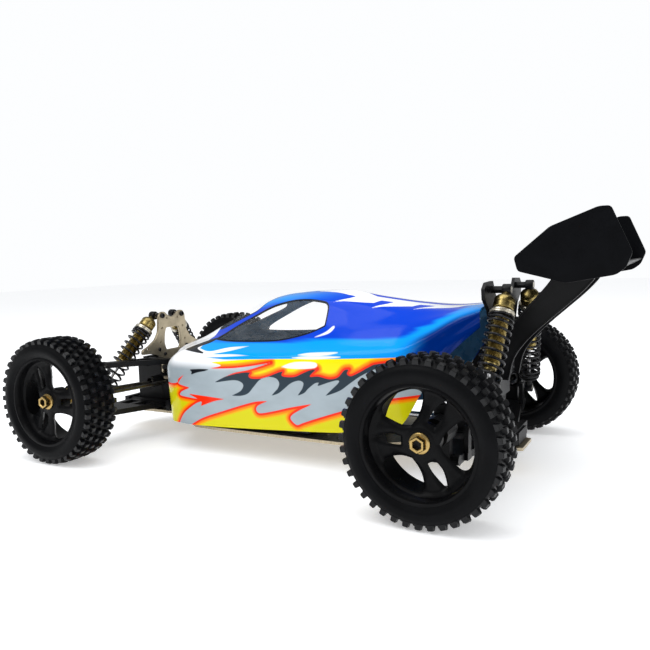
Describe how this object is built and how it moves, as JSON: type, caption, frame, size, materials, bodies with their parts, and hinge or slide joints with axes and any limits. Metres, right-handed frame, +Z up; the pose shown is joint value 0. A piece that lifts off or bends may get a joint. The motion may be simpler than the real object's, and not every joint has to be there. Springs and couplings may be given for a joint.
{
  "type": "rc buggy",
  "caption": "Four-wheel-drive off-road radio-controlled buggy with a painted clear shell, rear wing, sprung double-wishbone suspension and steered front wheels.",
  "frame": {"origin": "centre of the bounding box in plan, on the ground that the tyres stand on", "axes": "-Y is the nose, +Y the wing, +X the car's left side, +Z up"},
  "size_m": [0.48, 0.813, 0.318],
  "materials": {
    "tyre_rubber": "moulded black rubber, matte",
    "rim_plastic": "black nylon, satin",
    "nut_brass": "brass and steel, turned",
    "arm_plastic": "black glass-filled nylon",
    "housing_plastic": "black moulded nylon",
    "shaft_steel": "ground steel",
    "shock_gold": "gold anodised",
    "spring_steel": "black coated spring wire",
    "chassis_tan": "hard anodised, champagne tan",
    "body_paint": "polycarbonate, painted flames, glossy",
    "window_clear": "clear polycarbonate",
    "wing_black": "black, satin gloss",
    "case_black": "black plastic case",
    "motor_can": "grey anodised can"
  },
  "bodies": {
    "chassis": {"chassis_plate": "chassis_tan", "front_gearbox": "housing_plastic", "rear_gearbox": "housing_plastic", "front_shock_tower": "chassis_tan", "rear_shock_tower": "arm_plastic", "body_shell": "body_paint", "wing": "wing_black", "wing_mount": "arm_plastic", "steering_servo": "case_black", "motor": "motor_can", "centre_gearbox": "housing_plastic", "battery_pack": "case_black"},
    "front_left_arm": {"front_left_lower_arm": "arm_plastic"},
    "front_left_link": {"front_left_upper_arm": "arm_plastic"},
    "front_left_carrier": {"front_left_hub_carrier": "arm_plastic"},
    "front_left_steer": {"front_left_knuckle": "arm_plastic"},
    "front_left_wheel": {"front_left_tyre": "tyre_rubber", "front_left_rim": "rim_plastic", "front_left_axle": "nut_brass"},
    "front_left_shock": {"front_left_shock_body": "shock_gold", "front_left_spring": "spring_steel"},
    "front_left_damper": {"front_left_shock_shaft": "shaft_steel"},
    "front_left_drive": {"front_left_drive_shaft": "shaft_steel"},
    "left_tie": {"left_tie_rod": "shock_gold"},
    "front_right_arm": {"front_right_lower_arm": "arm_plastic"},
    "front_right_link": {"front_right_upper_arm": "arm_plastic"},
    "front_right_carrier": {"front_right_hub_carrier": "arm_plastic"},
    "front_right_steer": {"front_right_knuckle": "arm_plastic"},
    "front_right_wheel": {"front_right_tyre": "tyre_rubber", "front_right_rim": "rim_plastic", "front_right_axle": "nut_brass"},
    "front_right_shock": {"front_right_shock_body": "shock_gold", "front_right_spring": "spring_steel"},
    "front_right_damper": {"front_right_shock_shaft": "shaft_steel"},
    "front_right_drive": {"front_right_drive_shaft": "shaft_steel"},
    "right_tie": {"right_tie_rod": "shock_gold"},
    "rear_left_arm": {"rear_left_lower_arm": "arm_plastic"},
    "rear_left_link": {"rear_left_upper_arm": "arm_plastic"},
    "rear_left_carrier": {"rear_left_hub_carrier": "arm_plastic"},
    "rear_left_wheel": {"rear_left_tyre": "tyre_rubber", "rear_left_rim": "rim_plastic", "rear_left_axle": "nut_brass"},
    "rear_left_shock": {"rear_left_shock_body": "shock_gold", "rear_left_spring": "spring_steel"},
    "rear_left_damper": {"rear_left_shock_shaft": "shaft_steel"},
    "rear_left_drive": {"rear_left_drive_shaft": "shaft_steel"},
    "rear_right_arm": {"rear_right_lower_arm": "arm_plastic"},
    "rear_right_link": {"rear_right_upper_arm": "arm_plastic"},
    "rear_right_carrier": {"rear_right_hub_carrier": "arm_plastic"},
    "rear_right_wheel": {"rear_right_tyre": "tyre_rubber", "rear_right_rim": "rim_plastic", "rear_right_axle": "nut_brass"},
    "rear_right_shock": {"rear_right_shock_body": "shock_gold", "rear_right_spring": "spring_steel"},
    "rear_right_damper": {"rear_right_shock_shaft": "shaft_steel"},
    "rear_right_drive": {"rear_right_drive_shaft": "shaft_steel"},
    "crank": {"steering_crank": "chassis_tan"},
    "rack": {"steering_plate": "chassis_tan"},
    "front_prop": {"front_prop_shaft": "shaft_steel"},
    "rear_prop": {"rear_prop_shaft": "shaft_steel"}
  },
  "joints": [
    {"name": "front_left_suspension", "type": "hinge", "parent": "chassis", "child": "front_left_arm", "pos_m": [0.032, -0.3185, 0.048], "axis": [0, -1, 0], "range_deg": [-8, 10], "stiffness_Nm_per_rad": 60, "springref_deg": -1.35},
    {"name": "front_left_link_pivot", "type": "hinge", "parent": "chassis", "child": "front_left_link", "pos_m": [0.042, -0.2815, 0.12], "axis": [0, -1, 0], "range_deg": [-9.03, 11.24]},
    {"name": "front_left_carrier_pivot", "type": "hinge", "parent": "front_left_arm", "child": "front_left_carrier", "pos_m": [0.16, -0.3185, 0.054], "axis": [0, -1, 0], "range_deg": [-10.07, 8.09]},
    {"name": "front_left_shock_pivot", "type": "hinge", "parent": "chassis", "child": "front_left_shock", "pos_m": [0.023, -0.3105, 0.19], "axis": [0, -1, 0], "range_deg": [-2.59, 3.19]},
    {"name": "front_left_damper_slide", "type": "slide", "parent": "front_left_shock", "child": "front_left_damper", "axis": [-0.6511, 0.1582, 0.7423], "range_m": [-0.01269, 0.01579], "deforming": ["front_left_spring"]},
    {"name": "front_left_drive_pivot", "type": "hinge", "parent": "chassis", "child": "front_left_drive", "pos_m": [0.04, -0.3035, 0.084], "axis": [0, -1, 0], "range_deg": [-8.22, 10.22]},
    {"name": "front_left_steering", "type": "hinge", "parent": "front_left_carrier", "child": "front_left_steer", "pos_m": [0.168, -0.3185, 0.088], "axis": [0, 0, 1], "range_deg": [-22.4, 22.4]},
    {"name": "front_left_wheel_spin", "type": "hinge", "parent": "front_left_steer", "child": "front_left_wheel", "pos_m": [0.211, -0.3185, 0.088], "axis": [1, 0, 0], "continuous": true},
    {"name": "left_tie_pivot", "type": "hinge", "parent": "rack", "child": "left_tie", "pos_m": [0.034, -0.2725, 0.086], "axis": [0, -1, 0], "range_deg": [-7.98, 9.92]},
    {"name": "front_right_suspension", "type": "hinge", "parent": "chassis", "child": "front_right_arm", "pos_m": [-0.032, -0.3185, 0.048], "axis": [0, 1, 0], "range_deg": [-8, 10], "stiffness_Nm_per_rad": 60, "springref_deg": -1.35},
    {"name": "front_right_link_pivot", "type": "hinge", "parent": "chassis", "child": "front_right_link", "pos_m": [-0.042, -0.2815, 0.12], "axis": [0, 1, 0], "range_deg": [-9.03, 11.24]},
    {"name": "front_right_carrier_pivot", "type": "hinge", "parent": "front_right_arm", "child": "front_right_carrier", "pos_m": [-0.16, -0.3185, 0.054], "axis": [0, 1, 0], "range_deg": [-10.07, 8.09]},
    {"name": "front_right_shock_pivot", "type": "hinge", "parent": "chassis", "child": "front_right_shock", "pos_m": [-0.023, -0.3105, 0.19], "axis": [0, 1, 0], "range_deg": [-2.59, 3.19]},
    {"name": "front_right_damper_slide", "type": "slide", "parent": "front_right_shock", "child": "front_right_damper", "axis": [0.6511, 0.1582, 0.7423], "range_m": [-0.01269, 0.01579], "deforming": ["front_right_spring"]},
    {"name": "front_right_drive_pivot", "type": "hinge", "parent": "chassis", "child": "front_right_drive", "pos_m": [-0.04, -0.3035, 0.084], "axis": [0, 1, 0], "range_deg": [-8.22, 10.22]},
    {"name": "front_right_steering", "type": "hinge", "parent": "front_right_carrier", "child": "front_right_steer", "pos_m": [-0.168, -0.3185, 0.088], "axis": [0, 0, 1], "range_deg": [-22.4, 22.4]},
    {"name": "front_right_wheel_spin", "type": "hinge", "parent": "front_right_steer", "child": "front_right_wheel", "pos_m": [-0.211, -0.3185, 0.088], "axis": [1, 0, 0], "continuous": true},
    {"name": "right_tie_pivot", "type": "hinge", "parent": "rack", "child": "right_tie", "pos_m": [-0.034, -0.2725, 0.086], "axis": [0, 1, 0], "range_deg": [-7.98, 9.92]},
    {"name": "rear_left_suspension", "type": "hinge", "parent": "chassis", "child": "rear_left_arm", "pos_m": [0.032, 0.2245, 0.048], "axis": [0, -1, 0], "range_deg": [-8, 10], "stiffness_Nm_per_rad": 60, "springref_deg": -1.35},
    {"name": "rear_left_link_pivot", "type": "hinge", "parent": "chassis", "child": "rear_left_link", "pos_m": [0.04, 0.2265, 0.115], "axis": [0, -1, 0], "range_deg": [-8.88, 11.05]},
    {"name": "rear_left_carrier_pivot", "type": "hinge", "parent": "rear_left_arm", "child": "rear_left_carrier", "pos_m": [0.16, 0.2245, 0.054], "axis": [0, -1, 0], "range_deg": [-10.08, 8.11]},
    {"name": "rear_left_shock_pivot", "type": "hinge", "parent": "chassis", "child": "rear_left_shock", "pos_m": [0.062, 0.2715, 0.232], "axis": [0, -1, 0], "range_deg": [-0.83, 0.99]},
    {"name": "rear_left_damper_slide", "type": "slide", "parent": "rear_left_shock", "child": "rear_left_damper", "axis": [-0.4381, 0.0947, 0.8939], "range_m": [-0.01545, 0.01924], "deforming": ["rear_left_spring"]},
    {"name": "rear_left_drive_pivot", "type": "hinge", "parent": "chassis", "child": "rear_left_drive", "pos_m": [0.04, 0.2245, 0.084], "axis": [0, -1, 0], "range_deg": [-8.34, 10.38]},
    {"name": "rear_left_wheel_spin", "type": "hinge", "parent": "rear_left_carrier", "child": "rear_left_wheel", "pos_m": [0.209, 0.2245, 0.088], "axis": [1, 0, 0], "continuous": true},
    {"name": "rear_right_suspension", "type": "hinge", "parent": "chassis", "child": "rear_right_arm", "pos_m": [-0.032, 0.2245, 0.048], "axis": [0, 1, 0], "range_deg": [-8, 10], "stiffness_Nm_per_rad": 60, "springref_deg": -1.35},
    {"name": "rear_right_link_pivot", "type": "hinge", "parent": "chassis", "child": "rear_right_link", "pos_m": [-0.04, 0.2265, 0.115], "axis": [0, 1, 0], "range_deg": [-8.88, 11.05]},
    {"name": "rear_right_carrier_pivot", "type": "hinge", "parent": "rear_right_arm", "child": "rear_right_carrier", "pos_m": [-0.16, 0.2245, 0.054], "axis": [0, 1, 0], "range_deg": [-10.08, 8.11]},
    {"name": "rear_right_shock_pivot", "type": "hinge", "parent": "chassis", "child": "rear_right_shock", "pos_m": [-0.062, 0.2715, 0.232], "axis": [0, 1, 0], "range_deg": [-0.83, 0.99]},
    {"name": "rear_right_damper_slide", "type": "slide", "parent": "rear_right_shock", "child": "rear_right_damper", "axis": [0.4381, 0.0947, 0.8939], "range_m": [-0.01545, 0.01924], "deforming": ["rear_right_spring"]},
    {"name": "rear_right_drive_pivot", "type": "hinge", "parent": "chassis", "child": "rear_right_drive", "pos_m": [-0.04, 0.2245, 0.084], "axis": [0, 1, 0], "range_deg": [-8.34, 10.38]},
    {"name": "rear_right_wheel_spin", "type": "hinge", "parent": "rear_right_carrier", "child": "rear_right_wheel", "pos_m": [-0.209, 0.2245, 0.088], "axis": [1, 0, 0], "continuous": true},
    {"name": "steering_rack", "type": "slide", "parent": "chassis", "child": "rack", "axis": [1, 0, 0], "range_m": [-0.0139, 0.0139]},
    {"name": "steering_crank_pivot", "type": "hinge", "parent": "chassis", "child": "crank", "pos_m": [0.03, -0.2305, 0.098], "axis": [0, 0, 1], "range_deg": [-20.3, 20.3]},
    {"name": "front_prop_spin", "type": "hinge", "parent": "chassis", "child": "front_prop", "pos_m": [0, -0.1105, 0.06], "axis": [0, 1, 0], "continuous": true},
    {"name": "rear_prop_spin", "type": "hinge", "parent": "chassis", "child": "rear_prop", "pos_m": [0, 0.1295, 0.06], "axis": [0, 1, 0], "continuous": true}
  ],
  "couplings": [
    {"joint": "front_left_link_pivot", "follows": "front_left_suspension", "ratio": 1.1042},
    {"joint": "front_left_carrier_pivot", "follows": "front_left_suspension", "ratio": -0.98651},
    {"joint": "front_left_shock_pivot", "follows": "front_left_suspension", "ratio": 0.29892},
    {"joint": "front_left_damper_slide", "follows": "front_left_suspension", "m_per_rad": 0.08877},
    {"joint": "front_left_drive_pivot", "follows": "front_left_suspension", "ratio": 1.0024},
    {"joint": "left_tie_pivot", "follows": "front_left_suspension", "ratio": 0.9721},
    {"joint": "front_right_link_pivot", "follows": "front_right_suspension", "ratio": 1.1042},
    {"joint": "front_right_carrier_pivot", "follows": "front_right_suspension", "ratio": -0.98651},
    {"joint": "front_right_shock_pivot", "follows": "front_right_suspension", "ratio": 0.29892},
    {"joint": "front_right_damper_slide", "follows": "front_right_suspension", "m_per_rad": 0.08877},
    {"joint": "front_right_drive_pivot", "follows": "front_right_suspension", "ratio": 1.0024},
    {"joint": "front_right_steering", "follows": "front_left_steering", "ratio": 1},
    {"joint": "right_tie_pivot", "follows": "front_right_suspension", "ratio": 0.9721},
    {"joint": "rear_left_link_pivot", "follows": "rear_left_suspension", "ratio": 1.0853},
    {"joint": "rear_left_carrier_pivot", "follows": "rear_left_suspension", "ratio": -0.98814},
    {"joint": "rear_left_shock_pivot", "follows": "rear_left_suspension", "ratio": 0.07934},
    {"joint": "rear_left_damper_slide", "follows": "rear_left_suspension", "m_per_rad": 0.10853},
    {"joint": "rear_left_drive_pivot", "follows": "rear_left_suspension", "ratio": 1.0179},
    {"joint": "rear_right_link_pivot", "follows": "rear_right_suspension", "ratio": 1.0853},
    {"joint": "rear_right_carrier_pivot", "follows": "rear_right_suspension", "ratio": -0.98814},
    {"joint": "rear_right_shock_pivot", "follows": "rear_right_suspension", "ratio": 0.07934},
    {"joint": "rear_right_damper_slide", "follows": "rear_right_suspension", "m_per_rad": 0.10853},
    {"joint": "rear_right_drive_pivot", "follows": "rear_right_suspension", "ratio": 1.0179},
    {"joint": "steering_rack", "follows": "front_left_steering", "m_per_rad": -0.03509},
    {"joint": "steering_crank_pivot", "follows": "front_left_steering", "ratio": -0.89542}
  ]
}
